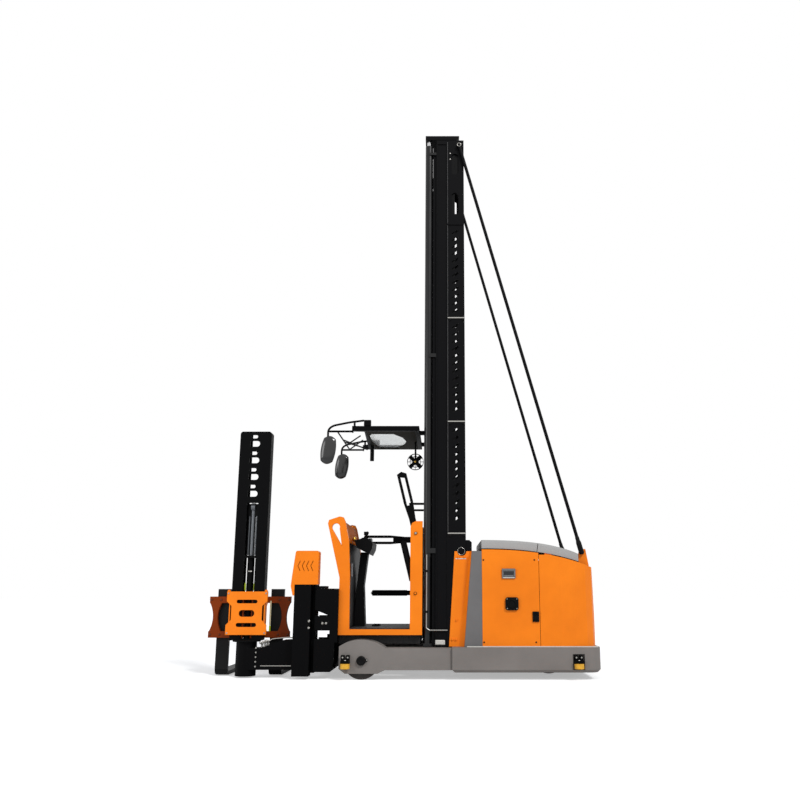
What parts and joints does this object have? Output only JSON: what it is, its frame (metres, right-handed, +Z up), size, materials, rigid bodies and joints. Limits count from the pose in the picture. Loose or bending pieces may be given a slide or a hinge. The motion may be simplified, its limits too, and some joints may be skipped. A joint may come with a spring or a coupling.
{
  "type": "narrow aisle forklift",
  "caption": "Narrow aisle forklift with a slotted two-stage mast, an open cab that rises with the load, and a swivelling, sliding fork head beside the cab front.",
  "frame": {"origin": "on the floor, under the middle of the truck", "axes": "+X forwards, from the rear body to the fork head; +Y to the truck's left, +Z up"},
  "size_m": [3.964, 1.63, 5.94],
  "materials": {
    "orange": "gloss paint",
    "orange_dark": "satin paint",
    "frame_grey": "satin paint",
    "panel_grey": "satin paint",
    "hood_grey": "satin paint",
    "black_paint": "satin paint",
    "mast_grey": "satin paint",
    "bright_steel": "ground",
    "rod_chrome": "hard chrome",
    "tread": "cast polyurethane",
    "roller_yellow": "cast polyurethane",
    "iron": "machined and painted",
    "battery_case": "moulded",
    "mirror_glass": "silvered",
    "mat": "ribbed",
    "window": "clear",
    "soft_black": "grained"
  },
  "bodies": {
    "chassis": {"arm_left": "frame_grey", "arm_right": "frame_grey", "battery": "battery_case", "charge_panel": "soft_black", "chassis_skirt": "frame_grey", "door_left": "orange", "door_right": "orange", "drive_ring": "frame_grey", "front_wall": "panel_grey", "hood_rear": "hood_grey", "lift_tubes": "mast_grey", "load_axles": "iron", "mast_brackets": "orange", "mast_side_plates": "mast_grey", "mast_stays": "mast_grey", "outer_mast": "mast_grey", "rear_shell": "orange", "roller_holders": "black_paint", "stay_posts": "orange", "steel_pipe": "bright_steel"},
    "battery_lid": {"hood_lid": "hood_grey"},
    "load_wheel_left": {"load_hub_left": "iron", "load_tyre_left": "tread"},
    "load_wheel_right": {"load_hub_right": "iron", "load_tyre_right": "tread"},
    "drive": {"drive_unit": "iron"},
    "drive_wheel": {"drive_hub": "iron", "drive_tyre": "tread"},
    "guide_front_left": {"guide_roller_front_left": "roller_yellow"},
    "guide_front_right": {"guide_roller_front_right": "roller_yellow"},
    "guide_rear_left": {"guide_roller_rear_left": "roller_yellow"},
    "guide_rear_right": {"guide_roller_rear_right": "roller_yellow"},
    "mast_inner": {"inner_mast": "black_paint", "lift_rods": "rod_chrome"},
    "cab": {"cab_carriage": "black_paint", "cab_floor": "mat", "cab_front_panel": "orange_dark", "cab_side_left": "orange", "cab_side_right": "orange", "console": "soft_black", "overhead_guard": "black_paint", "roof_panel": "soft_black", "roof_window": "window", "work_lamp": "soft_black", "mirrors": "soft_black", "fan": "black_paint", "traverse_frame": "black_paint"},
    "gate_a": {"gate_high_left": "black_paint"},
    "gate_b": {"gate_low_left": "black_paint"},
    "gate_c": {"gate_high_right": "black_paint"},
    "gate_d": {"gate_low_right": "black_paint"},
    "traverse": {"traverse_carriage": "black_paint", "head_cover": "orange"},
    "swivel": {"mini_mast": "black_paint", "mini_cylinder": "black_paint", "mini_rod": "rod_chrome"},
    "carriage": {"fork_carriage": "orange_dark", "fork_guard": "orange", "fork_front": "black_paint", "fork_rear": "black_paint"}
  },
  "joints": [
    {"name": "battery_lid_hinge", "type": "hinge", "parent": "chassis", "child": "battery_lid", "pos_m": [-0.85, 0, 1.311], "axis": [0, 1, 0], "range_deg": [0, 55]},
    {"name": "load_wheel_left_spin", "type": "hinge", "parent": "chassis", "child": "load_wheel_left", "pos_m": [0.375, 0.625, 0.18], "axis": [0, 1, 0], "continuous": true},
    {"name": "load_wheel_right_spin", "type": "hinge", "parent": "chassis", "child": "load_wheel_right", "pos_m": [0.375, -0.625, 0.18], "axis": [0, 1, 0], "continuous": true},
    {"name": "steer", "type": "hinge", "parent": "chassis", "child": "drive", "pos_m": [-1.535, 0, 0.405], "axis": [0, 0, 1], "range_deg": [-90, 90]},
    {"name": "drive_wheel_spin", "type": "hinge", "parent": "drive", "child": "drive_wheel", "pos_m": [-1.535, 0, 0.2], "axis": [0, 1, 0], "continuous": true},
    {"name": "guide_front_left_spin", "type": "hinge", "parent": "chassis", "child": "guide_front_left", "pos_m": [0.527, 0.769, 0.132], "axis": [0, 0, 1], "continuous": true},
    {"name": "guide_front_right_spin", "type": "hinge", "parent": "chassis", "child": "guide_front_right", "pos_m": [0.527, -0.769, 0.132], "axis": [0, 0, 1], "continuous": true},
    {"name": "guide_rear_left_spin", "type": "hinge", "parent": "chassis", "child": "guide_rear_left", "pos_m": [-1.749, 0.769, 0.132], "axis": [0, 0, 1], "continuous": true},
    {"name": "guide_rear_right_spin", "type": "hinge", "parent": "chassis", "child": "guide_rear_right", "pos_m": [-1.749, -0.769, 0.132], "axis": [0, 0, 1], "continuous": true},
    {"name": "mast_lift", "type": "slide", "parent": "chassis", "child": "mast_inner", "axis": [0, 0, 1], "range_m": [0, 4.4]},
    {"name": "cab_lift", "type": "slide", "parent": "mast_inner", "child": "cab", "axis": [0, 0, 1], "range_m": [0, 4.2]},
    {"name": "gate_high_left_hinge", "type": "hinge", "parent": "cab", "child": "gate_a", "pos_m": [-0.145, 0, 1.42], "axis": [0, 1, 0], "range_deg": [0, 76]},
    {"name": "gate_low_left_hinge", "type": "hinge", "parent": "cab", "child": "gate_b", "pos_m": [-0.145, 0, 0.82], "axis": [0, 1, 0], "range_deg": [0, 76]},
    {"name": "gate_high_right_hinge", "type": "hinge", "parent": "cab", "child": "gate_c", "pos_m": [-0.145, 0, 1.42], "axis": [0, 1, 0], "range_deg": [-76, 0]},
    {"name": "gate_low_right_hinge", "type": "hinge", "parent": "cab", "child": "gate_d", "pos_m": [-0.145, 0, 0.82], "axis": [0, 1, 0], "range_deg": [-76, 0]},
    {"name": "head_traverse", "type": "slide", "parent": "cab", "child": "traverse", "axis": [0, -1, 0], "range_m": [0, 0.98]},
    {"name": "head_swivel", "type": "hinge", "parent": "traverse", "child": "swivel", "pos_m": [1.566, 0.44, 0.35], "axis": [0, 0, 1], "range_deg": [0, 180]},
    {"name": "fork_lift", "type": "slide", "parent": "swivel", "child": "carriage", "axis": [0, 0, 1], "range_m": [0, 1.6]}
  ]
}
